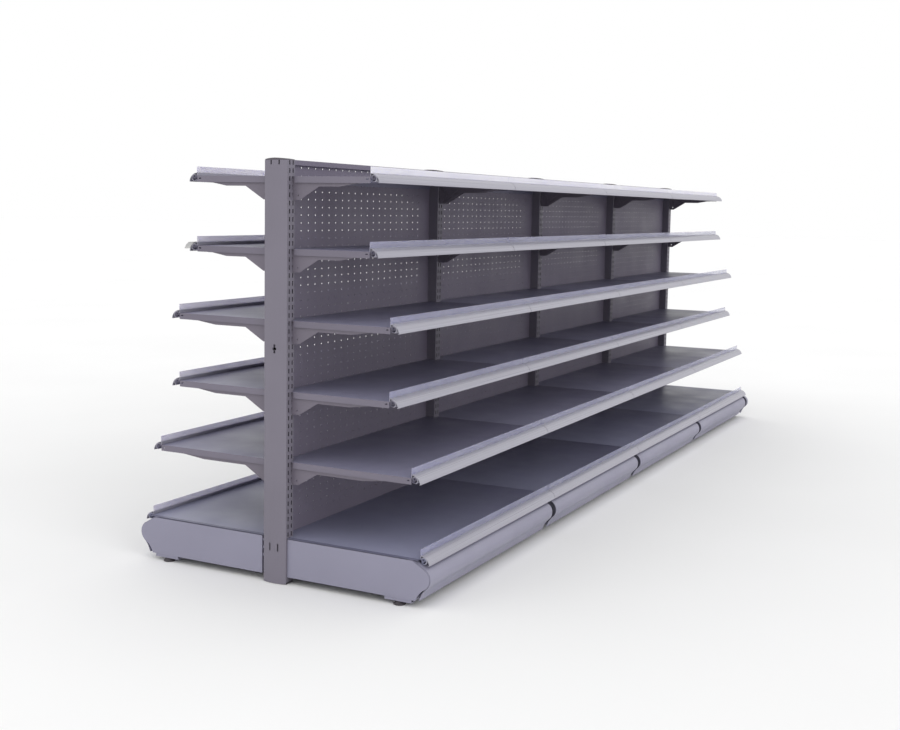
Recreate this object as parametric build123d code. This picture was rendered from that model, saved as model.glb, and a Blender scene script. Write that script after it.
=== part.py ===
"""Double-sided gondola shelving run: four bays, five uprights, five shelf levels and a base deck per side.

Frame: +X runs along the gondola, -Y is the front side, +Y the back side, +Z is up. The origin lies on
the floor under the middle of the run. Millimetres. Every front-side piece is drawn once, in terms of its
distance from the upright's shelf face, and mirrored to make the back side.
"""
from build123d import *
from math import cos, radians, sin
import os

# ---- Driving dimensions ----
BAY_COUNT = 4
BAY_LENGTH = 1000.0            # upright centre to upright centre
TOTAL_HEIGHT = 1350.0
SLOT_PITCH = 25.0
LEVEL_SLOTS = 9                # slots from one shelf level to the next
TOP_SLOT_Z = 1336.0            # centre of the highest slot
SLOT_COUNT = 53
TOP_SHELF_Z = 1294.0
SHELF_REACH = [440.0, 360.0, 360.0, 285.0, 285.0]   # level 1 (lowest) to 5, upright face to front edge
DECK_REACH = 475.0
DECK_TOP_Z = 150.0
LIFT_GAP = 0.3                 # clearance between pieces that lift apart
OVERRUN = 1.0                  # how far a cutter runs past the surface it opens

# ---- Upright ----
UPRIGHT_WIDTH = 40.0           # along X
UPRIGHT_DEPTH = 85.0           # along Y
UPRIGHT_WALL = 2.0
UPRIGHT_CORNER = 2.5
UPRIGHT_BOTTOM_Z = 6.0
UPRIGHT_TOP_Z = 1344.0
SLOT_WIDTH = 5.5
SLOT_HEIGHT = 14.5
SLOT_OFFSET = 9.0              # slot column from the upright's middle
TIE_SLOT_OFFSET = 15.0
TIE_SLOT_WIDTH = 5.0
TOP_TIE_Z = (1329.0, 1343.0)
MIDDLE_TIE_Z = 755.0
BOTTOM_TIE_Z = (106.0, 131.0)
CROSS_TALL = 28.0              # the cross-shaped middle slot
CROSS_WIDE = 14.0
CROSS_ARM = 7.0
COVER_THICK = 1.5
COVER_BOW = 8.0
COVER_LIP = 8.0
COVER_BOTTOM_Z = 1.0
CAP_EDGE = 1.5                 # cap thickness at its front and rear ends
CAP_LIFT = 1.0                 # cap above the end cover
PLUG_CLEARANCE = 0.2
CAP_PLUG_HALF_DEPTH = 8.0
CAP_PLUG_HEIGHT = 18.0
SHOE_PLUG_HEIGHT = 15.0

# ---- Sheet metal ----
SHEET = 1.2
BEAM_SHEET = 1.5
FLANGE_HEIGHT = 20.0
PANEL_DEPTH = 10.0
PANEL_BOTTOM_Z = 146.0
PANEL_TOP_Z = 1340.0
PANEL_SIDE_GAP = 0.5
CURL_RADIUS = 9.5
CURL_DROP = 6.0                # curl centre below the shelf surface
CURL_START = 142.0             # angle where the flat sheet runs into the curl
CURL_SWEEP = -290.0
FLAT_END = 2.0                 # the surface starts to fall this far behind the front edge
FALL_REACH = 2.4               # and meets the curl this far in front of it
FALL = 0.17                    # that much lower
FLANGE_REAR = 10.0             # side flanges start this far from the upright face
CHANNEL_WIDTH = 50.0           # stiffening channels under the sheet
CHANNEL_DEPTH = 13.0
CHANNEL_END = 40.0             # channel end from the bay line
DECK_FLANGE_GAP = 3.0          # deck's side flanges to the legs and to the kick plate
SHELF_REAR_GAP = 1.5           # tray's rear edge to the back panel
NOTCH_CLEARANCE = 1.0          # round the upright
NOTCH_REACH = 2.0
LOCATING_SLOT = (8.0, 17.0)    # slot in the side flange, back from the front edge
LOCATING_SLOT_DROP = (6.0, 10.0)
LONG_SHELF = 400.0             # deeper shelves than this get long brackets
SHORT_SHELF = 300.0            # shallower ones get short brackets and one channel
RAIL_HALF_WIDTH = 16.0
RAIL_Z = (1330.0, 1346.0)
BEAM_Z = (106.0, 146.0)
TAB_REACH = 6.0
TAB_ROOT = 2.0
TAB_PLAY = 2.0                 # tab top below the tie slot's upper end
TRAY_GAP = 3.0                 # between neighbouring trays

# ---- Bracket ----
PLATE = 2.0
BRACKET_REAR = 0.3             # plate edge from the upright face
BRACKET_DROP = 73.0            # below the shelf surface, at the upright
BRACKET_WAIST = 31.0           # along the middle
BRACKET_TIP = 21.0             # at the outer end
BRACKET_HEEL = 26.0            # the full drop is kept this far out
BRACKET_NECK = 96.0            # the waist starts here
WAIST_END = 0.6                # shares of the shelf's reach
TIP_START = 0.8
TIP_END = 0.86
FOLD_BAND = 6.0                # height of the pressed band along the lower edge
BRACKET_HOLE = (20.0, 14.0)    # from the upright face, and up from the plate's lower edge
BRACKET_HOLE_RADIUS = 2.5
HOOK_DROPS = [8.0, 33.0, 58.0]
HOOK_INSIDE = 5.0
HOOK_TOOTH = 5.0               # tooth below the slot's lower end
RIB_HEIGHT = 2.5

# ---- Base ----
LEG_WIDTH = 28.0
LEG_SHEET = 2.0
LEG_BOTTOM_Z = 23.0
LEG_TOP_Z = 146.0
LEG_GAP_FRONT = 0.5            # leg to upright face
LEG_GAP_BACK = 12.0
LEG_HOOK_SLOTS = [49, 50, 51]
NOSE_CORNER = 453.0            # where the nose slope starts, at NOSE_TOP_Z
NOSE_TOP_Z = 148.5
NOSE_SLOPE = -30.0
NOSE_RUN = 52.0
NOSE_RADIUS = 36.0
NOSE_TURN_END = -140.0
END_LEG_TURN_END = -150.0      # the end leg's nose turns further in, under the kick plate
NOSE_HOLLOW_RADIUS = 70.0
NOSE_HOLLOW_END = -112.0
END_LEG_INSET = 2.0
KICK_START = 2.0               # end kick plate's edge behind the end leg's outer face
KICK_END_GAP = 38.0            # open gap before the next leg
KICK_RETURN = 14.0
KICK_LIFT = 1.0                # kick plate's lower edge above the legs' lower edge
FOOT_REACH = 405.0
FOOT_DISC_RADIUS = 19.0
FOOT_DISC_RIM = 4.0
FOOT_CONE_RADIUS = 9.0
STEM_RADIUS = 5.0
STEM_TOP_Z = 60.0
FOOT_PLATE_Z = (12.5, 15.5)
FOOT_PLATE_SPAN = (358.0, 452.0)
NUT_RADIUS = 9.0
NUT_HEIGHT = 8.0
CHEEK_RISE = 12.0              # nut plate's side tabs above the leg's lower edge
BOLT_RADIUS = 4.0
BOLT_HEAD_RADIUS = 7.5
BOLT_HEAD_HEIGHT = 5.3
BOLT_GRIP = 10.0               # shank length inside the upright
BOLT_Z = 48.0

# ---- Price strip ----
FIN_TOP = 30.0                 # above the shelf surface
FIN_FOOT = 0.4
STRIP_SHEET = 1.5
STRIP_REACH = 30.0
STRIP_DROP = 17.0
STRIP_SHOULDER = 10.0
STRIP_LIP = 2.2                # outer radius of the label pocket's rolled lip
CLIP_START = 130.0
CLIP_SWEEP = -200.0
STRIP_SHORT = 1.5              # strip end from the bay line

HALF_LENGTH = BAY_COUNT * BAY_LENGTH / 2
UPRIGHT_X = [BAY_LENGTH * i - HALF_LENGTH for i in range(BAY_COUNT + 1)]
SHELF_Z = [TOP_SHELF_Z - SLOT_PITCH * LEVEL_SLOTS * (4 - level) for level in range(5)]
PANEL_FACE = PANEL_DEPTH / 2


# ---- Drawing helpers ----
def face_y(distance):
    """Y of a point this far in front of the uprights' front shelf face."""
    return -(UPRIGHT_DEPTH / 2 + distance)


def block(x_range, y_range, z_range):
    """A box between two corners."""
    size = [abs(high - low) for low, high in (x_range, y_range, z_range)]
    middle = [(low + high) / 2 for low, high in (x_range, y_range, z_range)]
    return Pos(*middle) * Box(*size)


def reach_block(x_range, reach_range, z_range):
    """A box whose Y range is given as distances from the front shelf face."""
    return block(x_range, (face_y(reach_range[0]), face_y(reach_range[1])), z_range)


def side_point(reach, z):
    return Vector(face_y(reach), z)


def side_rectangle(reach_range, z_range):
    middle = side_point(sum(reach_range) / 2, sum(z_range) / 2)
    width = reach_range[1] - reach_range[0]
    height = z_range[1] - z_range[0]
    return Pos(middle.X, middle.Y) * Rectangle(width, height)


def side_polygon(points):
    return make_face(Polyline(*[side_point(reach, z) for reach, z in points], close=True))


def run_along_x(section, x_range):
    """Stretch a section, drawn as (Y, Z), from one X to another."""
    return Pos(x_range[0], 0, 0) * extrude(Plane.YZ * section, amount=x_range[1] - x_range[0])


def turn(angle, length):
    return Vector(cos(radians(angle)), sin(radians(angle))) * length


def ring_band(reach, z, radii, start, sweep):
    """Part of a ring in the side section; angles count from straight outward, upward positive."""
    arcs = []
    for radius in radii:
        ends = [Vector(reach, z) + turn(start + sweep * part, radius) for part in (0, 0.5, 1)]
        arcs.append(ThreePointArc(*[side_point(end.X, end.Y) for end in ends]))
    caps = [Line(arcs[0] @ part, arcs[1] @ part) for part in (0, 1)]
    return make_face(arcs + caps)


def slot_z(number):
    return TOP_SLOT_Z - SLOT_PITCH * (number - 1)


def group(solids):
    return Compound(children=[solid.solid() for solid in solids])


def to_back(solids):
    return [mirror(solid, about=Plane.XZ) for solid in solids]


def save(name, solids):
    export_step(group(solids), "parts/" + name + ".step")


# ---- Uprights, caps, shoes and end covers ----
def tie_cutters(x_range):
    cutters = []
    for y in (-TIE_SLOT_OFFSET, TIE_SLOT_OFFSET):
        y_range = (y - TIE_SLOT_WIDTH / 2, y + TIE_SLOT_WIDTH / 2)
        cutters += [block(x_range, y_range, z_range) for z_range in (TOP_TIE_Z, BOTTOM_TIE_Z)]
    for wide, tall in ((CROSS_ARM, CROSS_TALL), (CROSS_WIDE, CROSS_ARM)):
        cutters.append(block(x_range, (-wide / 2, wide / 2),
                             (MIDDLE_TIE_Z - tall / 2, MIDDLE_TIE_Z + tall / 2)))
    return cutters


def upright():
    height = UPRIGHT_TOP_Z - UPRIGHT_BOTTOM_Z
    outline = RectangleRounded(UPRIGHT_WIDTH, UPRIGHT_DEPTH, UPRIGHT_CORNER)
    bore = Rectangle(UPRIGHT_WIDTH - 2 * UPRIGHT_WALL, UPRIGHT_DEPTH - 2 * UPRIGHT_WALL)
    tube = Pos(0, 0, UPRIGHT_BOTTOM_Z) * extrude(outline - bore, amount=height)
    across = (-UPRIGHT_DEPTH, UPRIGHT_DEPTH)
    cutters = []
    for number in range(1, SLOT_COUNT + 1):
        z_range = (slot_z(number) - SLOT_HEIGHT / 2, slot_z(number) + SLOT_HEIGHT / 2)
        for x in (-SLOT_OFFSET, SLOT_OFFSET):
            cutters.append(block((x - SLOT_WIDTH / 2, x + SLOT_WIDTH / 2), across, z_range))
    cutters += tie_cutters((-UPRIGHT_WIDTH, UPRIGHT_WIDTH))
    cutters.append(Pos(0, 0, BOLT_Z) * Rot(90, 0, 0) * Cylinder(BOLT_RADIUS + 0.05, 2 * UPRIGHT_DEPTH))
    return tube.cut(*cutters)


def bow_outline():
    """Outline of the bowed cover at the -X end, as seen from above."""
    edge_x = -UPRIGHT_WIDTH / 2
    half = UPRIGHT_DEPTH / 2
    shoulder = edge_x - COVER_THICK
    arc = ThreePointArc((shoulder, -half), (edge_x - COVER_BOW, 0), (shoulder, half))
    base = Polyline((shoulder, half), (edge_x, half), (edge_x, -half), (shoulder, -half))
    return make_face([arc, *base.edges()])


def end_cover():
    arch = bow_outline()
    edge_x = -UPRIGHT_WIDTH / 2
    half = UPRIGHT_DEPTH / 2 - COVER_THICK
    shoulder = edge_x - COVER_THICK
    crown_x = edge_x - COVER_BOW + COVER_THICK
    arc = ThreePointArc((shoulder, -half), (crown_x, 0), (shoulder, half))
    hollow = make_face([arc, Line((shoulder, half), (shoulder, -half))])
    middle = Pos(edge_x - COVER_THICK / 2, 0) * Rectangle(COVER_THICK, 2 * (half - COVER_LIP))
    section = arch - hollow - middle
    cover = Pos(0, 0, COVER_BOTTOM_Z) * extrude(section, amount=UPRIGHT_TOP_Z - COVER_BOTTOM_Z)
    return cover.cut(*tie_cutters((-2 * UPRIGHT_WIDTH, 0)))


def arched_cap(with_bow):
    """Moulded cap: a gently arched lid and a plug that presses into the tube."""
    outline = RectangleRounded(UPRIGHT_WIDTH, UPRIGHT_DEPTH, UPRIGHT_CORNER)
    if with_bow:
        outline = outline + bow_outline()
    edge_z = UPRIGHT_TOP_Z + CAP_EDGE
    half = UPRIGHT_DEPTH / 2
    slab = Pos(0, 0, UPRIGHT_TOP_Z) * extrude(outline, amount=TOTAL_HEIGHT - UPRIGHT_TOP_Z)
    arch = make_face([ThreePointArc((-half, edge_z), (0, TOTAL_HEIGHT), (half, edge_z)),
                      Line((half, edge_z), (half, UPRIGHT_TOP_Z)),
                      Line((half, UPRIGHT_TOP_Z), (-half, UPRIGHT_TOP_Z)),
                      Line((-half, UPRIGHT_TOP_Z), (-half, edge_z))])
    lid = slab & run_along_x(arch, (-UPRIGHT_WIDTH, UPRIGHT_WIDTH))
    if with_bow:
        lid = lid - block((-2 * UPRIGHT_WIDTH, -UPRIGHT_WIDTH / 2), (-half, half),
                          (0, UPRIGHT_TOP_Z + CAP_LIFT))
    plug_half = UPRIGHT_WIDTH / 2 - UPRIGHT_WALL - PLUG_CLEARANCE
    plug = block((-plug_half, plug_half), (-CAP_PLUG_HALF_DEPTH, CAP_PLUG_HALF_DEPTH),
                 (UPRIGHT_TOP_Z - CAP_PLUG_HEIGHT, UPRIGHT_TOP_Z))
    return lid + plug


def shoe():
    """Moulded foot under the tube, with a plug inside it."""
    pad = extrude(RectangleRounded(UPRIGHT_WIDTH, UPRIGHT_DEPTH, UPRIGHT_CORNER), amount=UPRIGHT_BOTTOM_Z)
    half_x = UPRIGHT_WIDTH / 2 - UPRIGHT_WALL - PLUG_CLEARANCE
    half_y = UPRIGHT_DEPTH / 2 - UPRIGHT_WALL - HOOK_INSIDE
    plug = block((-half_x, half_x), (-half_y, half_y),
                 (UPRIGHT_BOTTOM_Z, UPRIGHT_BOTTOM_Z + SHOE_PLUG_HEIGHT))
    return pad + plug


# ---- Rails, beams and back panels ----
def tie_beam(left_x, z_range, tab_z):
    """Folded channel, open below, between two uprights, with two tabs in each upright's tie slots."""
    start = left_x + UPRIGHT_WIDTH / 2
    end = left_x + BAY_LENGTH - UPRIGHT_WIDTH / 2
    low, high = z_range
    outer = Rectangle(2 * RAIL_HALF_WIDTH, high - low)
    hollow_width = 2 * (RAIL_HALF_WIDTH - BEAM_SHEET)
    hollow = Pos(0, -BEAM_SHEET) * Rectangle(hollow_width, high - low)
    beam = run_along_x(Pos(0, (low + high) / 2) * (outer - hollow), (start, end))
    for side in (-1, 1):
        y_range = (side * (RAIL_HALF_WIDTH - BEAM_SHEET), side * RAIL_HALF_WIDTH)
        for x_range in ((start - TAB_REACH, start + TAB_ROOT), (end - TAB_ROOT, end + TAB_REACH)):
            beam = beam + block(x_range, y_range, tab_z)
    return beam


def back_panel(left_x):
    """Panel tray: a flat sheet towards the front, folded back along its four edges."""
    start = left_x + UPRIGHT_WIDTH / 2 + PANEL_SIDE_GAP
    end = left_x + BAY_LENGTH - UPRIGHT_WIDTH / 2 - PANEL_SIDE_GAP
    outer = block((start, end), (-PANEL_FACE, PANEL_FACE), (PANEL_BOTTOM_Z, PANEL_TOP_Z))
    hollow = block((start + SHEET, end - SHEET), (-PANEL_FACE + SHEET, PANEL_FACE + OVERRUN),
                   (PANEL_BOTTOM_Z + SHEET, PANEL_TOP_Z - SHEET))
    return outer - hollow


# ---- Hooks, brackets and shelves ----
def hook(x, z, start_reach):
    """A tab through a slot, resting on the slot's lower end, with a tooth behind the wall."""
    x_range = (x - PLATE / 2, x + PLATE / 2)
    low = z - SLOT_HEIGHT / 2
    tab = reach_block(x_range, (-HOOK_INSIDE, start_reach), (low, z))
    tooth = reach_block(x_range, (-HOOK_INSIDE, -UPRIGHT_WALL - PLUG_CLEARANCE), (low - HOOK_TOOTH, z))
    return tab + tooth


def bracket(x, outward, top_z, reach):
    """Tapered plate with three hooks, a pressed band along its lower edge and a pressed V-shaped rib."""
    under = top_z - SHEET - LIFT_GAP
    low = top_z - BRACKET_DROP
    waist = top_z - BRACKET_WAIST
    tip = top_z - BRACKET_TIP
    lower_edge = [(TIP_START * reach, tip), (WAIST_END * reach, waist), (BRACKET_NECK, waist),
                  (BRACKET_HEEL, low)]
    outline = [(BRACKET_REAR, under), (TIP_END * reach, under), (TIP_END * reach, tip), *lower_edge,
               (BRACKET_REAR, low)]
    plate = run_along_x(side_polygon(outline), (x - PLATE / 2, x + PLATE / 2))
    outer_x = x + outward * PLATE / 2
    rib_x = sorted((x, outer_x + outward * RIB_HEIGHT))
    inner_edge = [(BRACKET_HEEL, low + 1.5 * FOLD_BAND), (BRACKET_NECK - 2, waist + FOLD_BAND),
                  (WAIST_END * reach, waist + FOLD_BAND), (TIP_START * reach, tip + FOLD_BAND)]
    band = run_along_x(side_polygon(lower_edge + inner_edge), rib_x)
    rib_points = [(10, under - 8), (33, low + 16), (78, under - 22), (80, under - 15),
                  (35, low + 26), (18, under - 8)]
    rib = run_along_x(side_polygon(rib_points), rib_x)
    hole_reach, hole_rise = BRACKET_HOLE
    hole_place = Pos(x, face_y(hole_reach), low + hole_rise) * Rot(0, 90, 0)
    hole = hole_place * Cylinder(BRACKET_HOLE_RADIUS, 4 * PLATE)
    hooks = [hook(x, top_z - drop, PLATE) for drop in HOOK_DROPS]
    return plate.fuse(band, rib, *hooks).cut(hole)


def tray(left_x, top_z, reach, first, last, is_deck):
    """Folded shelf: sheet, side and rear flanges, front curl and stiffening channels underneath."""
    start = left_x + TRAY_GAP / 2
    end = left_x + BAY_LENGTH - TRAY_GAP / 2
    sheet_start = start
    sheet_end = end
    flange_starts = [start, end - SHEET]
    flange_low = top_z - FLANGE_HEIGHT
    flange_front = reach - FLAT_END
    if is_deck:
        inside_leg = LEG_WIDTH / 2 + DECK_FLANGE_GAP
        flange_starts = [left_x + inside_leg, left_x + BAY_LENGTH - inside_leg - SHEET]
        flange_front = NOSE_CORNER - KICK_RETURN - DECK_FLANGE_GAP
    if is_deck and first:
        sheet_start = left_x - LEG_WIDTH / 2
    if is_deck and last:
        sheet_end = left_x + BAY_LENGTH + LEG_WIDTH / 2
    rear_y = -PANEL_FACE - SHELF_REAR_GAP
    under = top_z - SHEET
    fall_end = reach + FALL_REACH
    falling = side_polygon([(reach - FLAT_END, top_z), (fall_end, top_z - FALL), (fall_end, under - FALL),
                            (reach - FLAT_END, under)])
    curl = ring_band(reach + CURL_RADIUS, top_z - CURL_DROP, (CURL_RADIUS - SHEET, CURL_RADIUS),
                     CURL_START, CURL_SWEEP)
    pieces = [block((sheet_start, sheet_end), (face_y(reach - FLAT_END), rear_y), (under, top_z)),
              run_along_x(falling, (start, end)),
              run_along_x(curl, (start, end))]
    for x in flange_starts:
        pieces.append(reach_block((x, x + SHEET), (FLANGE_REAR, flange_front), (flange_low, top_z)))
    notch = UPRIGHT_WIDTH / 2 + NOTCH_CLEARANCE
    if not is_deck:
        pieces.append(block((left_x + notch, left_x + BAY_LENGTH - notch), (rear_y - SHEET, rear_y),
                            (flange_low, top_z)))
    channel_count = 1 if reach < SHORT_SHELF else 2
    half = CHANNEL_WIDTH / 2
    channel_low = top_z - CHANNEL_DEPTH
    for number in range(1, channel_count + 1):
        middle = reach * number / (channel_count + 1)
        outer = side_rectangle((middle - half, middle + half), (channel_low, top_z - SHEET / 2))
        hollow = side_rectangle((middle - half + SHEET, middle + half - SHEET), (channel_low + SHEET, under))
        pieces.append(run_along_x(outer - hollow, (left_x + CHANNEL_END, left_x + BAY_LENGTH - CHANNEL_END)))
    cutters = []
    for centre in (left_x, left_x + BAY_LENGTH):
        cutters.append(block((centre - notch, centre + notch), (face_y(NOTCH_REACH), 0),
                             (flange_low - OVERRUN, top_z + OVERRUN)))
    if not is_deck:
        slot_reach = (reach - LOCATING_SLOT[1], reach - LOCATING_SLOT[0])
        slot_height = (top_z - LOCATING_SLOT_DROP[1], top_z - LOCATING_SLOT_DROP[0])
        for x in flange_starts:
            cutters.append(reach_block((x - OVERRUN, x + SHEET + OVERRUN), slot_reach, slot_height))
    return pieces[0].fuse(*pieces[1:]).cut(*cutters)


def price_strip(left_x, top_z, reach):
    """Clip-on plastic strip: an upright fin, a convex label face and a clip round the shelf's curl."""
    fin = side_rectangle((reach - STRIP_SHEET, reach), (top_z + FIN_FOOT, top_z + FIN_TOP))
    shoulder_z = top_z + STRIP_SHOULDER
    face = []
    for inset in (0, STRIP_SHEET):
        points = [(reach - STRIP_SHEET / 2, shoulder_z - inset),
                  (reach + 0.65 * STRIP_REACH - 0.7 * inset, top_z + 2 - 0.7 * inset),
                  (reach + STRIP_REACH - inset, top_z - STRIP_DROP)]
        face.append(ThreePointArc(*[side_point(*point) for point in points]))
    label = make_face(face + [Line(face[0] @ part, face[1] @ part) for part in (0, 1)])
    lip = ring_band(reach + STRIP_REACH - STRIP_LIP, top_z - STRIP_DROP, (STRIP_LIP - STRIP_SHEET, STRIP_LIP),
                    0, -180)
    clip_radius = CURL_RADIUS + LIFT_GAP
    clip = ring_band(reach + CURL_RADIUS, top_z - CURL_DROP, (clip_radius, clip_radius + STRIP_SHEET),
                     CLIP_START, CLIP_SWEEP)
    section = fin + label + lip + clip
    return run_along_x(section, (left_x + STRIP_SHORT, left_x + BAY_LENGTH - STRIP_SHORT))


# ---- Base legs, kick plates, feet and bolts ----
def nose_edges(inset, top_z, end_z, turn_end=NOSE_TURN_END):
    """The base's front profile, drawn inward by inset, from its top down to end_z: a slope, a round nose
    that turns to turn_end, and a hollow that runs back to the foot."""
    corner = Vector(NOSE_CORNER, NOSE_TOP_Z)
    first = corner + turn(NOSE_SLOPE - 90, inset)
    first = first + turn(NOSE_SLOPE, (first.Y - top_z) / sin(radians(-NOSE_SLOPE)))
    nose_start = corner + turn(NOSE_SLOPE, NOSE_RUN)
    nose_centre = nose_start + turn(NOSE_SLOPE - 90, NOSE_RADIUS)
    radius = NOSE_RADIUS - inset
    nose = [nose_centre + turn(angle + 90, radius)
            for angle in (NOSE_SLOPE, (NOSE_SLOPE + turn_end) / 2, turn_end)]
    hollow_centre = nose_centre + turn(turn_end + 90, NOSE_RADIUS + NOSE_HOLLOW_RADIUS)
    radius = NOSE_HOLLOW_RADIUS + inset
    hollow = [hollow_centre + turn(angle - 90, radius)
              for angle in (turn_end, (turn_end + NOSE_HOLLOW_END) / 2, NOSE_HOLLOW_END)]
    last = hollow[2] + turn(NOSE_HOLLOW_END, (end_z - hollow[2].Y) / sin(radians(NOSE_HOLLOW_END)))
    place = [[side_point(point.X, point.Y) for point in points]
             for points in ([first, nose[0]], nose, hollow, [hollow[2], last])]
    return [Line(*place[0]), ThreePointArc(*place[1]), ThreePointArc(*place[2]), Line(*place[3])]


def nose_area(inset, rear_reach, top_z, end_z, turn_end=NOSE_TURN_END):
    edges = nose_edges(inset, top_z, end_z, turn_end)
    corners = [edges[3] @ 1, side_point(rear_reach, end_z), side_point(rear_reach, top_z), edges[0] @ 0]
    return make_face(edges + list(Polyline(*corners).edges()))


def base_leg(x, gap):
    """Channel leg, open below, hooked into the upright, with a nut plate for its levelling foot. Its web
    faces out at the -X end and towards +X everywhere else."""
    half = LEG_WIDTH / 2
    skin = half - LEG_SHEET
    is_end = x == UPRIGHT_X[0]
    inset = END_LEG_INSET if is_end else 0
    turn_end = END_LEG_TURN_END if is_end else NOSE_TURN_END
    hollow_x = (x - skin, x + half + OVERRUN) if is_end else (x - half - OVERRUN, x + skin)
    shell = run_along_x(nose_area(inset, gap, LEG_TOP_Z, LEG_BOTTOM_Z, turn_end), (x - half, x + half))
    hollow_area = nose_area(inset + LEG_SHEET, gap + LEG_SHEET, LEG_TOP_Z - LEG_SHEET,
                            LEG_BOTTOM_Z - OVERRUN, turn_end)
    hollow = run_along_x(hollow_area, hollow_x)
    leg = shell - hollow
    plate_low, plate_high = FOOT_PLATE_Z
    nut_plate = reach_block((x - skin, x + skin), FOOT_PLATE_SPAN, FOOT_PLATE_Z)
    cheeks = [reach_block((x + side * skin, x + side * (skin - LEG_SHEET)), FOOT_PLATE_SPAN,
                          (plate_low, LEG_BOTTOM_Z + CHEEK_RISE)) for side in (-1, 1)]
    foot_place = Pos(x, face_y(FOOT_REACH), plate_high)
    nut = foot_place * extrude(RegularPolygon(NUT_RADIUS, 6), amount=NUT_HEIGHT)
    hooks = [hook(x + side * SLOT_OFFSET, slot_z(number), gap + LEG_SHEET / 2)
             for side in (-1, 1) for number in LEG_HOOK_SLOTS]
    stem_hole = foot_place * Cylinder(STEM_RADIUS + LIFT_GAP, 40)
    bolt_place = Pos(x, face_y(gap + LEG_SHEET / 2), BOLT_Z) * Rot(90, 0, 0)
    bolt_hole = bolt_place * Cylinder(BOLT_RADIUS + PLUG_CLEARANCE, 3 * LEG_SHEET)
    return leg.fuse(nut_plate, *cheeks, nut, *hooks).cut(stem_hole, bolt_hole)


def kick_plate(left_x):
    """Curved front sheet between two legs, with a flange along its top and its bottom edge. At the -X end
    it also covers the end leg's nose."""
    inner_start = left_x + LEG_WIDTH / 2 + 0.5
    start = left_x - LEG_WIDTH / 2 + KICK_START if left_x == UPRIGHT_X[0] else inner_start
    end = left_x + BAY_LENGTH - LEG_WIDTH / 2 - KICK_END_GAP
    low_z = LEG_BOTTOM_Z + KICK_LIFT
    outer = nose_area(0, NOSE_CORNER - KICK_RETURN, NOSE_TOP_Z, low_z)
    inner = nose_area(SHEET, NOSE_CORNER - 2 * KICK_RETURN, NOSE_TOP_Z + OVERRUN, low_z - OVERRUN)
    face = run_along_x(outer - inner, (start, end))
    top_flange = reach_block((start, end), (NOSE_CORNER - KICK_RETURN, NOSE_CORNER),
                             (NOSE_TOP_Z - SHEET, NOSE_TOP_Z))
    edge = nose_edges(0, NOSE_TOP_Z, low_z)[3] @ 1
    bottom_reach = -edge.X - UPRIGHT_DEPTH / 2
    bottom_flange = reach_block((inner_start, end), (bottom_reach - KICK_RETURN, bottom_reach - SHEET / 2),
                                (low_z, low_z + SHEET))
    return face.fuse(top_flange, bottom_flange)


def levelling_foot(x):
    """Threaded stem with a low conical disc."""
    top = FOOT_PLATE_Z[0] - LIFT_GAP
    outline = Polyline((0, 0), (FOOT_DISC_RADIUS - 1, 0), (FOOT_DISC_RADIUS, 1),
                       (FOOT_DISC_RADIUS, FOOT_DISC_RIM), (FOOT_CONE_RADIUS, top), (STEM_RADIUS, top),
                       (STEM_RADIUS, STEM_TOP_Z), (0, STEM_TOP_Z), close=True)
    foot = revolve(Plane.XZ * make_face(outline), axis=Axis.Z)
    return Pos(x, face_y(FOOT_REACH), 0) * foot


def leg_bolt(x, gap):
    """Hex bolt through the leg's rear wall into the upright."""
    head = extrude(RegularPolygon(BOLT_HEAD_RADIUS, 6), amount=BOLT_HEAD_HEIGHT)
    shank = extrude(Circle(BOLT_RADIUS), amount=-(gap + LEG_SHEET + BOLT_GRIP))
    return Pos(x, face_y(gap + LEG_SHEET), BOLT_Z) * Rot(90, 0, 0) * (head + shank)


# ---- The assembly ----
os.makedirs("parts", exist_ok=True)
BAY_STARTS = UPRIGHT_X[:-1]

tube = upright()
for index, x in enumerate(UPRIGHT_X):
    save("upright_" + str(index + 1), [Pos(x, 0, 0) * tube])

end_cap = arched_cap(True)
plain_cap = arched_cap(False)
caps = [Pos(x, 0, 0) * plain_cap for x in UPRIGHT_X[1:-1]]
caps.append(Pos(UPRIGHT_X[0], 0, 0) * end_cap)
caps.append(Pos(UPRIGHT_X[-1], 0, 0) * Rot(0, 0, 180) * end_cap)
save("upright_caps", caps)
save("upright_shoes", [Pos(x, 0, 0) * shoe() for x in UPRIGHT_X])
cover = end_cover()
save("end_covers", [Pos(UPRIGHT_X[0], 0, 0) * cover, Pos(UPRIGHT_X[-1], 0, 0) * Rot(0, 0, 180) * cover])

save("top_rails", [tie_beam(x, RAIL_Z, (TOP_TIE_Z[0], TOP_TIE_Z[1] - TAB_PLAY)) for x in BAY_STARTS])
save("bottom_tie_beams",
     [tie_beam(x, BEAM_Z, (BOTTOM_TIE_Z[0], BOTTOM_TIE_Z[1] - TAB_PLAY)) for x in BAY_STARTS])
for index, x in enumerate(BAY_STARTS):
    save("back_panel_" + str(index + 1), [back_panel(x)])

brackets = {"long": [], "medium": [], "short": []}
for top_z, reach in zip(SHELF_Z, SHELF_REACH):
    length = "short" if reach < SHORT_SHELF else "medium" if reach < LONG_SHELF else "long"
    for x in BAY_STARTS:
        brackets[length].append(bracket(x + SLOT_OFFSET, 1, top_z, reach))
        brackets[length].append(bracket(x + BAY_LENGTH - SLOT_OFFSET, -1, top_z, reach))
for length, solids in brackets.items():
    save("brackets_front_" + length, solids)
    save("brackets_back_" + length, to_back(solids))


def row(top_z, reach, is_deck):
    return [tray(x, top_z, reach, x == BAY_STARTS[0], x == BAY_STARTS[-1], is_deck) for x in BAY_STARTS]


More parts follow.
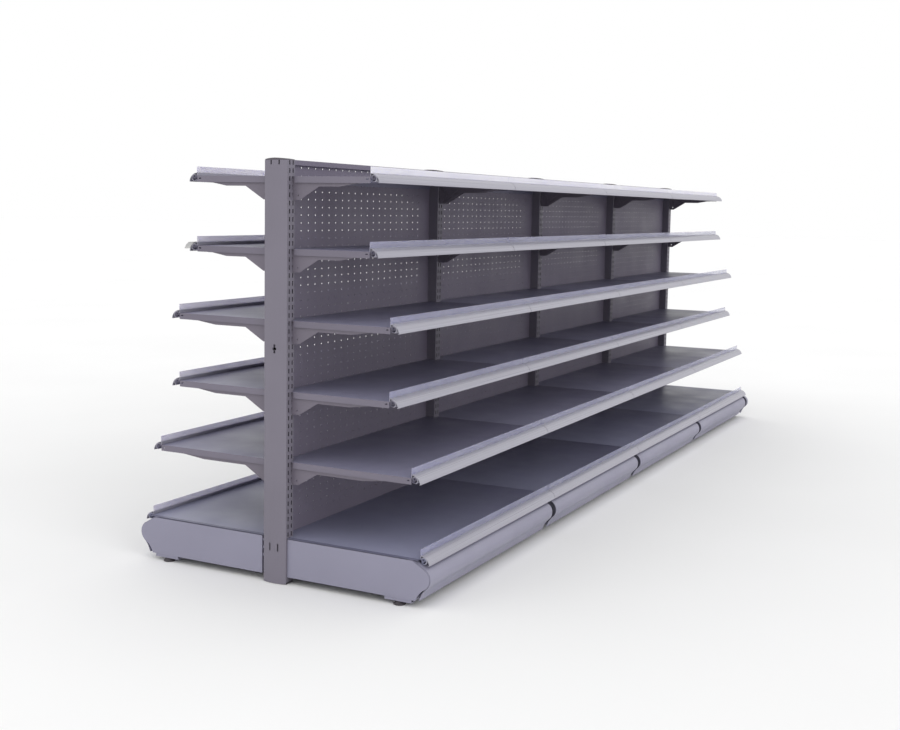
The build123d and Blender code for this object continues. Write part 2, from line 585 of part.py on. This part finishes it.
for level, (top_z, reach) in enumerate(zip(SHELF_Z, SHELF_REACH), start=1):
    trays = row(top_z, reach, False)
    strips = [price_strip(x, top_z, reach) for x in BAY_STARTS]
    save("shelves_front_" + str(level), trays)
    save("shelves_back_" + str(level), to_back(trays))
    save("price_strips_front_" + str(level), strips)
    save("price_strips_back_" + str(level), to_back(strips))

decks = row(DECK_TOP_Z, DECK_REACH, True)
deck_strips = [price_strip(x, DECK_TOP_Z, DECK_REACH) for x in BAY_STARTS]
save("base_decks_front", decks)
save("base_decks_back", to_back(decks))
save("base_strips_front", deck_strips)
save("base_strips_back", to_back(deck_strips))

kicks = [kick_plate(x) for x in BAY_STARTS]
save("kick_plates_front", kicks)
save("kick_plates_back", to_back(kicks))
save("base_legs_front", [base_leg(x, LEG_GAP_FRONT) for x in UPRIGHT_X])
save("base_legs_back", to_back([base_leg(x, LEG_GAP_BACK) for x in UPRIGHT_X]))
bolts = [leg_bolt(x, LEG_GAP_FRONT) for x in UPRIGHT_X]
save("leg_bolts", bolts + to_back([leg_bolt(x, LEG_GAP_BACK) for x in UPRIGHT_X]))
for index, x in enumerate(UPRIGHT_X):
    foot = levelling_foot(x)
    save("foot_front_" + str(index + 1), [foot])
    save("foot_back_" + str(index + 1), to_back([foot]))
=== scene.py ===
"""Looks for the double-sided gondola shelving run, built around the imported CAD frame.

Everything is in metres, in the frame's own axes: +X along the run, -Y the front side, +Y the back side.
"""
import math

import bmesh
import bpy
from mathutils import Matrix, Vector


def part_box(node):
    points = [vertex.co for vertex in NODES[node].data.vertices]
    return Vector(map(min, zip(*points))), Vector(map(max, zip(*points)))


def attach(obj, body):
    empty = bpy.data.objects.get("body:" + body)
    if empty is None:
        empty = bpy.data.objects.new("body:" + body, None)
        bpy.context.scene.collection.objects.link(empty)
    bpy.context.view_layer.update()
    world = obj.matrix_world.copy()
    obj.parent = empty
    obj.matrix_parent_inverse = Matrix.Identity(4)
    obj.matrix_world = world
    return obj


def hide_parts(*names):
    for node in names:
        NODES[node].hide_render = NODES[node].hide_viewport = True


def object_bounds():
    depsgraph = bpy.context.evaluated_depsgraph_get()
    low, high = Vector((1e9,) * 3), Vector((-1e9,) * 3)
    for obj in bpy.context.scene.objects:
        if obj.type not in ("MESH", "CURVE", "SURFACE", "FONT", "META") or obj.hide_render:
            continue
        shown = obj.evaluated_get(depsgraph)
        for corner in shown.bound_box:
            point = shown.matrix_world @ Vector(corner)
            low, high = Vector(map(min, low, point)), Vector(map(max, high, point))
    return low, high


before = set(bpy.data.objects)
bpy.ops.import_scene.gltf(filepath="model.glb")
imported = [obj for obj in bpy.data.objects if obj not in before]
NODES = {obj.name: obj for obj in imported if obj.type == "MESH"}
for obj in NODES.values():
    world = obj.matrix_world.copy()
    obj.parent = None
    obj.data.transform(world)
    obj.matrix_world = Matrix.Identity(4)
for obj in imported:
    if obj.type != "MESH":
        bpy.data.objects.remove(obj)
CAD_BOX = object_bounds()
SIDES = (("front", -1), ("back", 1))
TUBE_INNER = Vector((0.0185, 0.0411))       # half size of the uprights' hollow
CURL_RISE = 0.0035                          # the curl's crown above the tray's flat surface
GLOSS_SWING = 0.08                          # roughness above and below a coat's own
# painted shade: near-black colour for the uprights' inner walls, where shade falls inside the tubes
HOLLOW_PAINTED_SHADE = (0.004, 0.003, 0.004)
# partly a random tone per tray, mostly painted shade that grows along each bay
BAY_END_TONE_AND_SHADE = (0.42, 0.40, 0.45)           # what a tray's coat is multiplied by at its darkest
# Opacity and the darker and lighter tone of the strips' upright fins; the back fins and the top front fins
# are lighter, more opaque copies, painted light for how light falls on them
CLEAR_FIN = (0.42, (0.38, 0.38, 0.52), (0.44, 0.44, 0.58))
BACK_FIN_PAINTED_LIGHT = (0.66, (0.56, 0.54, 0.62), (0.64, 0.62, 0.69))
TOP_FIN_PAINTED_LIGHT = (0.95, (0.62, 0.61, 0.69), (0.70, 0.69, 0.76))
BAYS = range(1, 5)
LEVELS = range(1, 6)


# ---- Shader helpers ----
def new_material(name):
    material = bpy.data.materials.new(name)
    material.use_nodes = True
    shader = material.node_tree.nodes["Principled BSDF"]
    return material, material.node_tree, shader


def object_coordinates(tree):
    return tree.nodes.new("ShaderNodeTexCoord").outputs["Object"]


def noise(tree, scale, detail=3.0, stretch=None, roughness=0.5):
    """Noise in object space; stretch scales the axes to draw streaks."""
    node = tree.nodes.new("ShaderNodeTexNoise")
    node.inputs["Scale"].default_value = scale
    node.inputs["Detail"].default_value = detail
    node.inputs["Roughness"].default_value = roughness
    coordinates = object_coordinates(tree)
    if stretch:
        mapping = tree.nodes.new("ShaderNodeMapping")
        mapping.inputs["Scale"].default_value = stretch
        tree.links.new(coordinates, mapping.inputs["Vector"])
        coordinates = mapping.outputs["Vector"]
    tree.links.new(coordinates, node.inputs["Vector"])
    return node.outputs["Fac"]


def spread(tree, value, low, high, new_low, new_high):
    """Map a value from one range to another, held at the ends."""
    node = tree.nodes.new("ShaderNodeMapRange")
    node.inputs["From Min"].default_value = low
    node.inputs["From Max"].default_value = high
    node.inputs["To Min"].default_value = new_low
    node.inputs["To Max"].default_value = new_high
    tree.links.new(value, node.inputs["Value"])
    return node.outputs["Result"]


def mix_colour(tree, factor, first, second, blend="MIX"):
    node = tree.nodes.new("ShaderNodeMix")
    node.data_type = "RGBA"
    node.blend_type = blend
    for socket, value in ((node.inputs[0], factor), (node.inputs[6], first), (node.inputs[7], second)):
        if isinstance(value, bpy.types.NodeSocket):
            tree.links.new(value, socket)
        elif isinstance(value, float):
            socket.default_value = value
        else:
            socket.default_value = (*value, 1.0)
    return node.outputs[2]


def bump(tree, shader, height, distance):
    node = tree.nodes.new("ShaderNodeBump")
    node.inputs["Strength"].default_value = 1.0
    node.inputs["Distance"].default_value = distance
    tree.links.new(height, node.inputs["Height"])
    tree.links.new(node.outputs["Normal"], shader.inputs["Normal"])


def math_node(tree, operation, value, second=None):
    node = tree.nodes.new("ShaderNodeMath")
    node.operation = operation
    tree.links.new(value, node.inputs[0])
    if isinstance(second, bpy.types.NodeSocket):
        tree.links.new(second, node.inputs[1])
    elif second is not None:
        node.inputs[1].default_value = second
    return node.outputs[0]


def axes(tree):
    node = tree.nodes.new("ShaderNodeSeparateXYZ")
    tree.links.new(object_coordinates(tree), node.inputs["Vector"])
    return node.outputs["X"], node.outputs["Y"], node.outputs["Z"]


def inside_tube(tree):
    """1 on the inner walls of the uprights, which stand at every whole metre of X; there the coat gets
    painted shade.
    """
    x, y, _ = axes(tree)
    off_centre = math_node(tree, "ABSOLUTE", math_node(tree, "SUBTRACT", x, math_node(tree, "ROUND", x)))
    within_x = math_node(tree, "LESS_THAN", off_centre, TUBE_INNER.x)
    within_y = math_node(tree, "LESS_THAN", math_node(tree, "ABSOLUTE", y), TUBE_INNER.y)
    return math_node(tree, "MULTIPLY", within_x, within_y)


def batch_tone(tree):
    """Each bay's tray has its own random tone, plus painted shade that darkens it from its -X end to its +X
    end.
    """
    x, _, z = axes(tree)
    bay = math_node(tree, "FLOOR", x)
    # painted shade: the coat darkens along each bay, from its -X end to its +X end
    along = math_node(tree, "MULTIPLY", math_node(tree, "SUBTRACT", x, bay), 0.75)
    level = math_node(tree, "ROUND", math_node(tree, "MULTIPLY", z, 10.0))
    seed = tree.nodes.new("ShaderNodeTexWhiteNoise")
    seed.noise_dimensions = "1D"
    tree.links.new(math_node(tree, "ADD", bay, math_node(tree, "MULTIPLY", level, 7.0)), seed.inputs["W"])
    return math_node(tree, "ADD", along, math_node(tree, "MULTIPLY", seed.outputs["Value"], 0.25))


def on_end_faces(tree):
    """1 on faces that look along the run, such as the trays' side flanges."""
    facing = tree.nodes.new("ShaderNodeSeparateXYZ")
    tree.links.new(tree.nodes.new("ShaderNodeNewGeometry").outputs["True Normal"], facing.inputs["Vector"])
    return math_node(tree, "GREATER_THAN", math_node(tree, "ABSOLUTE", facing.outputs["X"]), 0.7)


def powder_coat(name, colour, roughness=0.5, batches_and_shade=False, hollow_shade=False, end_face_painted_shade=None):
    """Baked powder coat: orange-peel skin, faint cloudiness, and a few dry scuffs along the run; optional
    per-tray tones with painted shade along each bay, painted shade on end faces and painted shade inside the
    uprights.
    """
    material, tree, shader = new_material(name)
    cloud = spread(tree, noise(tree, 2.5, 4.0), 0.3, 0.7, 0.0, 1.0)
    grain = spread(tree, noise(tree, 420.0, 2.0), 0.3, 0.7, 0.0, 1.0)
    scratches = noise(tree, 9.0, 8.0, stretch=(0.6, 5.0, 5.0), roughness=0.75)
    scuff = spread(tree, scratches, 0.66, 0.74, 0.0, 0.5)
    darker = tuple(channel * 0.93 for channel in colour)
    lighter = tuple(channel * 1.05 for channel in colour)
    worn = tuple(min(1.0, channel * 1.25 + 0.01) for channel in colour)
    base = mix_colour(tree, cloud, darker, lighter)
    speckled = mix_colour(tree, spread(tree, grain, 0.0, 1.0, 0.0, 0.12), base, worn)
    coat = mix_colour(tree, scuff, speckled, worn)
    # random tone per tray, with painted shade growing along each bay
    if batches_and_shade:
        coat = mix_colour(tree, batch_tone(tree), coat, BAY_END_TONE_AND_SHADE, "MULTIPLY")
    # painted shade: faces that look along the run are darkened, with a warm tint
    if end_face_painted_shade:
        tinted = mix_colour(tree, 1.0, coat, end_face_painted_shade, "MULTIPLY")
        coat = mix_colour(tree, on_end_faces(tree), coat, tinted)
    # painted shade: the uprights' inner walls turn near-black, standing in for the shade inside the tubes
    if hollow_shade:
        coat = mix_colour(tree, inside_tube(tree), coat, HOLLOW_PAINTED_SHADE)
    tree.links.new(coat, shader.inputs["Base Color"])
    gloss = spread(tree, noise(tree, 6.0, 5.0), 0.3, 0.7, roughness - GLOSS_SWING, roughness + GLOSS_SWING)
    tree.links.new(gloss, shader.inputs["Roughness"])
    shader.inputs["Specular IOR Level"].default_value = 0.45
    bump(tree, shader, noise(tree, 650.0, 2.0), 0.00012)
    return material


def strip_plastic(name, surface_z, fin_look):
    """Extruded price strip: lavender plastic with drawing lines along it and a thin see-through fin."""
    material, tree, shader = new_material(name)
    opacity, fin_dark, fin_light = fin_look
    fin = spread(tree, axes(tree)[2], surface_z + 0.009, surface_z + 0.012, 0.0, 1.0)
    line = noise(tree, 60.0, 2.0, stretch=(0.01, 8.0, 8.0))
    shade = spread(tree, line, 0.35, 0.65, 0.0, 1.0)
    body = mix_colour(tree, shade, (0.29, 0.284, 0.338), (0.35, 0.343, 0.396))
    haze = spread(tree, noise(tree, 5.0, 3.0), 0.3, 0.7, 0.0, 1.0)
    fin_colour = mix_colour(tree, haze, fin_dark, fin_light)
    tree.links.new(mix_colour(tree, fin, body, fin_colour), shader.inputs["Base Color"])
    tree.links.new(spread(tree, line, 0.3, 0.7, 0.26, 0.38), shader.inputs["Roughness"])
    tree.links.new(spread(tree, fin, 0.0, 1.0, 1.0, opacity), shader.inputs["Alpha"])
    tree.links.new(fin, shader.inputs["Subsurface Weight"])
    shader.inputs["Subsurface Radius"].default_value = (1.0, 1.0, 1.2)
    shader.inputs["Subsurface Scale"].default_value = 0.004
    bump(tree, shader, line, 0.0001)
    return material


def moulded_plastic(name, colour, roughness=0.55):
    """Moulded plastic with a fine spark-eroded grain."""
    material, tree, shader = new_material(name)
    grain = noise(tree, 900.0, 2.0)
    lighter = tuple(channel * 1.3 + 0.01 for channel in colour)
    mottle = spread(tree, noise(tree, 30.0, 4.0), 0.35, 0.7, 0.0, 0.6)
    tree.links.new(mix_colour(tree, mottle, colour, lighter), shader.inputs["Base Color"])
    gloss = spread(tree, grain, 0.3, 0.7, roughness - GLOSS_SWING, roughness + GLOSS_SWING)
    tree.links.new(gloss, shader.inputs["Roughness"])
    bump(tree, shader, grain, 0.00015)
    return material


def zinc_plate(name):
    """Bright zinc plating, slightly clouded."""
    material, tree, shader = new_material(name)
    cloud = spread(tree, noise(tree, 120.0, 4.0), 0.3, 0.7, 0.0, 1.0)
    colour = mix_colour(tree, cloud, (0.52, 0.53, 0.54), (0.70, 0.70, 0.68))
    tree.links.new(colour, shader.inputs["Base Color"])
    shader.inputs["Metallic"].default_value = 1.0
    tree.links.new(spread(tree, cloud, 0.0, 1.0, 0.28, 0.42), shader.inputs["Roughness"])
    bump(tree, shader, noise(tree, 700.0, 2.0), 0.00008)
    return material


UPRIGHT_COAT = powder_coat("upright_powder_coat", (0.170, 0.156, 0.195), hollow_shade=True)
PANEL_COAT = powder_coat("panel_powder_coat", (0.180, 0.159, 0.216))
BRACKET_COAT = powder_coat("bracket_powder_coat", (0.150, 0.133, 0.168))
SHELF_COAT = powder_coat("shelf_powder_coat", (0.252, 0.247, 0.346), roughness=0.42, batches_and_shade=True,
                         end_face_painted_shade=(0.66, 0.61, 0.56))
# painted light: the decks and rolled edges get a lighter copy of the shelves' coat, for the light that falls
# on the decks
DECK_COAT_PAINTED_LIGHT = powder_coat("deck_powder_coat_painted_light", (0.282, 0.288, 0.402), roughness=0.42, batches_and_shade=True)
BASE_COAT = powder_coat("base_powder_coat", (0.250, 0.243, 0.320), roughness=0.46)
CAP_PLASTIC = moulded_plastic("cap_plastic", (0.085, 0.075, 0.090))
BLACK_PLASTIC = moulded_plastic("black_plastic", (0.030, 0.028, 0.034))
FOOT_PLASTIC = moulded_plastic("foot_plastic", (0.040, 0.034, 0.040))
ZINC = zinc_plate("zinc_plating")
CARD = moulded_plastic("label_card", (0.88, 0.88, 0.85), roughness=0.3)


# ---- Mesh helpers ----
def add_piece(name, mesh, body, material, replaced=()):
    """Put a mesh in the scene as a piece that rides a body and may stand for CAD nodes."""
    piece = bpy.data.objects.new(name, mesh)
    bpy.context.scene.collection.objects.link(piece)
    mesh.materials.append(material)
    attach(piece, body)
    if replaced:
        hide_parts(*replaced)


def mesh_from(name, build):
    """Make a mesh with a bmesh-building function."""
    work = bmesh.new()
    build(work)
    bmesh.ops.remove_doubles(work, verts=work.verts, dist=1e-6)
    bmesh.ops.recalc_face_normals(work, faces=work.faces)
    mesh = bpy.data.meshes.new(name)
    work.to_mesh(mesh)
    work.free()
    return mesh


def add_box(work, low, high):
    size = Vector(high) - Vector(low)
    place = Matrix.Translation((Vector(low) + Vector(high)) / 2) @ Matrix.Diagonal((*size, 1.0))
    bmesh.ops.create_cube(work, size=1.0, matrix=place)


def paint(node_names, material):
    """Give CAD nodes a material."""
    for name in node_names:
        node = NODES[name]
        node.data.materials.clear()
        node.data.materials.append(material)


# ---- Perforated back panels ----
SHEET = 0.0012
HOLE_RADIUS = 0.0027
HOLE_SIDES = 16
HOLE_COLUMNS = 20
HOLE_PITCH_X = 0.041
HOLE_PITCH_Z = 0.025
HOLE_ROWS = 46
HOLE_TOP_DROP = 0.0165         # highest row below the panel's top edge


def square_ring(centre_x, centre_z, half_x, half_z):
    """Points on a cell's border, one for each side of the hole, corners included."""
    points = []
    for index in range(HOLE_SIDES):
        angle = 2 * math.pi * index / HOLE_SIDES
        across, up = math.cos(angle), math.sin(angle)
        reach = 1 / max(abs(across), abs(up))
        points.append((centre_x + across * reach * half_x, centre_z + up * reach * half_z))
    return points


def perforated_sheet(work, low, high, front_y, rear_y):
    """The pierced part of a flat sheet: one square cell round each hole. Returns the grid's corners."""
    first_x = (low.x + high.x - HOLE_PITCH_X * (HOLE_COLUMNS - 1)) / 2
    first_z = high.z - HOLE_TOP_DROP
    grid_low = Vector((first_x - HOLE_PITCH_X / 2, 0, first_z - HOLE_PITCH_Z * (HOLE_ROWS - 0.5)))
    grid_high = Vector((first_x + HOLE_PITCH_X * (HOLE_COLUMNS - 0.5), 0, first_z + HOLE_PITCH_Z / 2))
    for column in range(HOLE_COLUMNS):
        for row in range(HOLE_ROWS):
            centre = (first_x + HOLE_PITCH_X * column, first_z - HOLE_PITCH_Z * row)
            border = square_ring(*centre, HOLE_PITCH_X / 2, HOLE_PITCH_Z / 2)
            rings = []
            for y in (front_y, rear_y):
                outer = [work.verts.new((x, y, z)) for x, z in border]
                inner = []
                for index in range(HOLE_SIDES):
                    angle = 2 * math.pi * index / HOLE_SIDES
                    inner.append(work.verts.new((centre[0] + HOLE_RADIUS * math.cos(angle), y,
                                                 centre[1] + HOLE_RADIUS * math.sin(angle))))
                rings.append((outer, inner))
            for index in range(HOLE_SIDES):
                after = (index + 1) % HOLE_SIDES
                for outer, inner in rings:
                    work.faces.new((outer[index], outer[after], inner[after], inner[index]))
                front, rear = rings[0][1], rings[1][1]
                work.faces.new((front[index], front[after], rear[after], rear[index]))
    return grid_low, grid_high


def perforated_panel(bay):
    """A bay's pierced sheet with its four folded edges, in place of the plain CAD panel."""
    node = "back_panel_" + str(bay)
    low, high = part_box(node)

    def build(work):
        rear = low.y + SHEET
        grid_low, grid_high = perforated_sheet(work, low, high, low.y, rear)
        margins = ((low.x, grid_low.x, low.z, high.z),
                   (grid_high.x, high.x, low.z, high.z),
                   (grid_low.x, grid_high.x, low.z, grid_low.z),
                   (grid_low.x, grid_high.x, grid_high.z, high.z))
        for x0, x1, z0, z1 in margins:
            add_box(work, (x0, low.y, z0), (x1, rear, z1))
        folds = ((low.x, low.x + SHEET, low.z, high.z),
                 (high.x - SHEET, high.x, low.z, high.z),
                 (low.x + SHEET, high.x - SHEET, low.z, low.z + SHEET),
                 (low.x + SHEET, high.x - SHEET, high.z - SHEET, high.z))
        for x0, x1, z0, z1 in folds:
            add_box(work, (x0, rear, z0), (x1, high.y, z1))

    name = "perforated_panel_" + str(bay)
    add_piece(name, mesh_from(name, build), "frame", PANEL_COAT, (node,))


for bay in BAYS:
    perforated_panel(bay)


# ---- Rolled edges and a loose label card ----
ROLL_CENTRE = Vector((0.0095, -0.006))      # ahead of the front edge and below the tray's highest point
ROLL_RADII = (0.0079, 0.0026)
ROLL_START = 120.0                          # degrees
ROLL_TURNS = 1.9
ROLL_SHEET = 0.0009
ROLL_STEPS = 40
ROLL_END_GAP = 0.001                        # from the bay line
STRIP_FRONT = 0.030                         # the label's lower edge ahead of the shelf's front edge
CARD_CENTRE = Vector((-0.00174, -0.02214))  # of its curve, placed like ROLL_CENTRE
CARD_RADIUS = 0.0324
CARD_TOP_ANGLE = 68.0                       # degrees
CARD_ANGLE_STEP = 4.5
CARD_STEPS = 12
CARD_THICKNESS = 0.0005
CARD_SPAN_X = (0.003, 0.12)                 # ahead of the run's -X end


def ribbon(work, points, normals, thickness, x_range, place):
    """Sweep a thin band, drawn as a line of (reach, z) points, along X."""
    rows = []
    for point, normal in zip(points, normals):
        offset = normal * thickness
        rows.append([work.verts.new(place(x, corner)) for x in x_range for corner in (point, point + offset)])
    for here, after in zip(rows, rows[1:]):
        for first, second in ((0, 1), (1, 3), (3, 2), (2, 0)):
            work.faces.new((here[first], here[second], after[second], after[first]))
    for end in (rows[0], rows[-1]):
        work.faces.new((end[0], end[1], end[3], end[2]))


def rolled_edge(side, sign, level, body, deck=False):
    """The sheet's edge, rolled on inside the curl at each tray's front."""
    tray = "base_decks_" + side if deck else "shelves_" + side + "_" + str(level)
    strip = "base_strips_" + side if deck else "price_strips_" + side + "_" + str(level)
    top_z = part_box(tray)[1].z
    edge_y = max(abs(corner.y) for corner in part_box(strip)) - STRIP_FRONT
    points, normals = [], []
    for step in range(ROLL_STEPS + 1):
        share = step / ROLL_STEPS
        angle = math.radians(ROLL_START) + 2 * math.pi * ROLL_TURNS * share
        out = Vector((math.cos(angle), math.sin(angle)))
        points.append(ROLL_CENTRE + out * (ROLL_RADII[0] + (ROLL_RADII[1] - ROLL_RADII[0]) * share))
        normals.append(-out)

    def place(x, point):
        return (x, sign * (edge_y + point.x), top_z + point.y)

    def build(work):
        for bay in BAYS:
            ends = (bay - 3 + ROLL_END_GAP, bay - 2 - ROLL_END_GAP)
            ribbon(work, points, normals, ROLL_SHEET, ends, place)

    name = "rolled_edge_" + side + "_" + str(level)
    add_piece(name, mesh_from(name, build), body, DECK_COAT_PAINTED_LIGHT if deck else SHELF_COAT)


for side, sign in SIDES:
    for level in LEVELS:
        rolled_edge(side, sign, level, "shelf_row_" + side + "_" + str(level))
    rolled_edge(side, sign, 0, "deck_row_" + side, deck=True)


def label_card():
    """Blank card slid half out of a price strip at the -X end of the back side."""
    top_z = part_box("shelves_back_4")[1].z
    edge_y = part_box("price_strips_back_4")[1].y - STRIP_FRONT
    angles = [math.radians(CARD_TOP_ANGLE - CARD_ANGLE_STEP * step) for step in range(CARD_STEPS + 1)]
    outward = [Vector((math.cos(angle), math.sin(angle))) for angle in angles]
    points = [CARD_CENTRE + out * CARD_RADIUS for out in outward]

    def place(x, point):
        return (x, edge_y + point.x, top_z + point.y)

    def build(work):
        ends = [CAD_BOX[0].x + offset for offset in CARD_SPAN_X]
        ribbon(work, points, outward, CARD_THICKNESS, ends, place)

    add_piece("label_card", mesh_from("label_card", build), "shelf_row_back_4", CARD)


label_card()

# ---- Finishes on the CAD nodes ----
paint(["upright_" + str(number) for number in range(1, 6)] + ["end_covers"], UPRIGHT_COAT)
paint(["top_rails", "bottom_tie_beams"], PANEL_COAT)
paint(["upright_caps"], CAP_PLASTIC)
paint(["upright_shoes"], BLACK_PLASTIC)
paint(["leg_bolts"], ZINC)
for side, _ in SIDES:
    paint(["base_legs_" + side, "kick_plates_" + side], BASE_COAT)
    paint(["brackets_" + side + "_" + length for length in ("short", "medium", "long")], BRACKET_COAT)
    paint(["shelves_" + side + "_" + str(level) for level in LEVELS], SHELF_COAT)
    paint(["base_decks_" + side], DECK_COAT_PAINTED_LIGHT)
    paint(["foot_" + side + "_" + str(number) for number in range(1, 6)], FOOT_PLASTIC)
    for level in LEVELS:
        surface_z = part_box("shelves_" + side + "_" + str(level))[1].z - CURL_RISE
        # painted light: back fins and the top front strip's fins get lighter, more opaque copies for how
        # light falls on them
        look = BACK_FIN_PAINTED_LIGHT if side == "back" else TOP_FIN_PAINTED_LIGHT if level == LEVELS[-1] else CLEAR_FIN
        plastic = strip_plastic("strip_plastic_" + side + "_" + str(level), surface_z, look)
        paint(["price_strips_" + side + "_" + str(level)], plastic)
    surface_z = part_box("base_decks_" + side)[1].z - CURL_RISE
    # painted light: back fins get a lighter, more opaque copy
    look = BACK_FIN_PAINTED_LIGHT if side == "back" else CLEAR_FIN
    paint(["base_strips_" + side], strip_plastic("strip_plastic_" + side + "_base", surface_z, look))


# ---- Stage, light and camera ----
FLOOR_HALF_SIZE = 60.0
FLOOR_GAP = 0.0005
NEAR_UPRIGHT_X = -2.0
EYE_OFFSET_X = -3.119          # from the near upright
EYE_Y = -2.192
EYE_Z = 1.202
EYE_YAW = 27.0                 # degrees from +X towards +Y
EYE_PITCH = 5.7                # downward
EYE_ROLL = 1.04


def floor():
    """Pale floor just under the feet."""
    material, tree, shader = new_material("studio_floor")
    tint = spread(tree, noise(tree, 0.8, 2.0), 0.3, 0.7, 0.0, 1.0)
    colour = mix_colour(tree, tint, (0.90, 0.90, 0.90), (0.92, 0.92, 0.92))
    tree.links.new(colour, shader.inputs["Base Color"])
    shader.inputs["Roughness"].default_value = 0.9
    shader.inputs["Specular IOR Level"].default_value = 0.1

    def build(work):
        bmesh.ops.create_grid(work, x_segments=2, y_segments=2, size=FLOOR_HALF_SIZE)

    mesh = mesh_from("studio_floor", build)
    mesh.materials.append(material)
    ground = bpy.data.objects.new("studio_floor", mesh)
    ground.location = (0, 0, CAD_BOX[0].z - FLOOR_GAP)
    bpy.context.scene.collection.objects.link(ground)


def white_room():
    """Even white surroundings."""
    world = bpy.data.worlds.new("studio")
    world.use_nodes = True
    background = world.node_tree.nodes["Background"]
    background.inputs["Color"].default_value = (1.0, 1.0, 1.0, 1.0)
    background.inputs["Strength"].default_value = 1.0
    bpy.context.scene.world = world


def soft_sun(name, direction, strength, angle):
    """Broad soft light shining along direction."""
    light = bpy.data.lights.new(name, "SUN")
    light.energy = strength
    light.angle = math.radians(angle)
    lamp = bpy.data.objects.new(name, light)
    lamp.rotation_mode = "QUATERNION"
    lamp.rotation_quaternion = Vector(direction).to_track_quat("-Z", "Y")
    bpy.context.scene.collection.objects.link(lamp)


def camera():
    """Stands off the near front corner at eye height, looking along the run."""
    data = bpy.data.cameras.new("camera")
    data.sensor_width = 36.0
    data.lens = 48.15
    data.shift_y = -0.04
    data.clip_end = 200.0
    eye = bpy.data.objects.new("camera", data)
    eye.location = (NEAR_UPRIGHT_X + EYE_OFFSET_X, EYE_Y, EYE_Z)
    yaw, pitch, roll = math.radians(EYE_YAW), math.radians(EYE_PITCH), math.radians(EYE_ROLL)
    facing = Matrix.Rotation(yaw - math.pi / 2, 4, "Z") @ Matrix.Rotation(math.pi / 2 - pitch, 4, "X")
    eye.rotation_mode = "QUATERNION"
    eye.rotation_quaternion = (facing @ Matrix.Rotation(roll, 4, "Z")).to_quaternion()
    bpy.context.scene.collection.objects.link(eye)
    bpy.context.scene.camera = eye


floor()
white_room()
soft_sun("key_left", (0.8, -0.3, -0.5), 0.25, 60)
soft_sun("front_fill", (0.3, 0.9, -0.4), 0.55, 40)
camera()
bpy.context.scene.view_settings.view_transform = "Standard"
